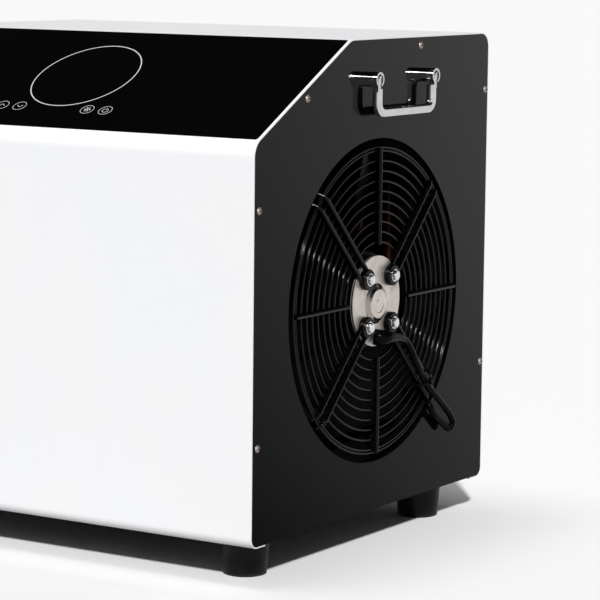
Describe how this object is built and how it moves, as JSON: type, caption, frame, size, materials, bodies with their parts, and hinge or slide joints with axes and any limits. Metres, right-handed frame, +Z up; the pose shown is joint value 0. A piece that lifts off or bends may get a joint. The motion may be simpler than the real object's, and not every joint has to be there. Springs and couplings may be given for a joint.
{
  "type": "ice bath chiller",
  "caption": "Box-shaped water chiller for an ice bath: sheet steel case with a sloped touch glass, side fan behind a wire guard, folding handles, rubber feet and rear water connections.",
  "frame": {"origin": "centre of the bounding box on the floor under the feet, at rest", "axes": "+X across the case towards the end with the fan, +Y from the front with the sloped glass to the rear with the water connections, +Z up"},
  "size_m": [0.5737, 0.4944, 0.5202],
  "materials": {
    "white_paint": "satin powder coat",
    "gloss_black_paint": "high gloss",
    "black_paint": "satin",
    "guard_wire": "satin powder coat",
    "black_glass": "polished, printed black behind",
    "black_plastic": "fine grain",
    "board": "solder resist",
    "white_plastic": "smooth",
    "foot_rubber": "matt",
    "cable_rubber": "satin sheath",
    "zinc_steel": "bright zinc",
    "handle_chrome": "polished",
    "cast_aluminium": "as cast, fine grain",
    "fin_aluminium": "bright sheet",
    "copper": "drawn copper, slightly dulled"
  },
  "bodies": {
    "case": {"front_cover": "white_paint", "rear_panel": "white_paint", "right_panel": "gloss_black_paint", "left_panel": "gloss_black_paint", "base_pan": "black_paint", "foot_front_left": "foot_rubber", "foot_front_right": "foot_rubber", "foot_rear_left": "foot_rubber", "foot_rear_right": "foot_rubber", "foot_bolts": "zinc_steel", "foot_nuts": "zinc_steel", "control_glass": "black_glass", "display_carrier": "black_plastic", "display_board": "board", "right_panel_screws": "zinc_steel", "left_panel_screws": "zinc_steel", "rear_screws": "zinc_steel", "right_handle_posts": "handle_chrome", "right_handle_pins": "zinc_steel", "left_handle_posts": "handle_chrome", "left_handle_pins": "zinc_steel", "handle_screws": "zinc_steel", "fan_duct": "black_paint", "fan_guard": "guard_wire", "motor_plate": "cast_aluminium", "motor_bolts": "zinc_steel", "motor_stator": "zinc_steel", "motor_windings": "copper", "motor_bearings": "zinc_steel", "motor_gland": "black_plastic", "fan_cable": "cable_rubber", "cable_tie": "black_plastic", "condenser_fins": "fin_aluminium", "condenser_tubes": "copper", "condenser_frame": "zinc_steel", "compressor": "black_paint", "compressor_mounts": "foot_rubber", "compressor_bolts": "zinc_steel", "compressor_cap": "black_plastic", "accumulator": "black_paint", "evaporator_barrel": "black_plastic", "evaporator_lid": "black_plastic", "filter_drier": "copper", "discharge_pipe": "copper", "liquid_pipe": "copper", "suction_pipe": "copper", "water_inlet": "black_plastic", "water_outlet": "black_plastic", "water_pipes": "white_plastic", "water_nuts": "black_plastic", "electric_box": "black_plastic", "electric_lid": "black_plastic", "run_capacitor": "fin_aluminium", "mains_gland": "black_plastic"},
    "fan_rotor": {"rotor_can": "black_paint", "rotor_shaft": "zinc_steel", "fan_blades": "guard_wire"},
    "right_handle": {"right_bail": "handle_chrome"},
    "left_handle": {"left_bail": "handle_chrome"}
  },
  "joints": [
    {"name": "fan_spin", "type": "hinge", "parent": "case", "child": "fan_rotor", "pos_m": [0.27, -0.02, 0.255], "axis": [1, 0, 0], "continuous": true},
    {"name": "right_handle_swing", "type": "hinge", "parent": "case", "child": "right_handle", "pos_m": [0.2815, 0.011, 0.48], "axis": [0, -1, 0], "range_deg": [-8, 90]},
    {"name": "left_handle_swing", "type": "hinge", "parent": "case", "child": "left_handle", "pos_m": [-0.2815, 0.011, 0.48], "axis": [0, 1, 0], "range_deg": [-8, 90]}
  ]
}
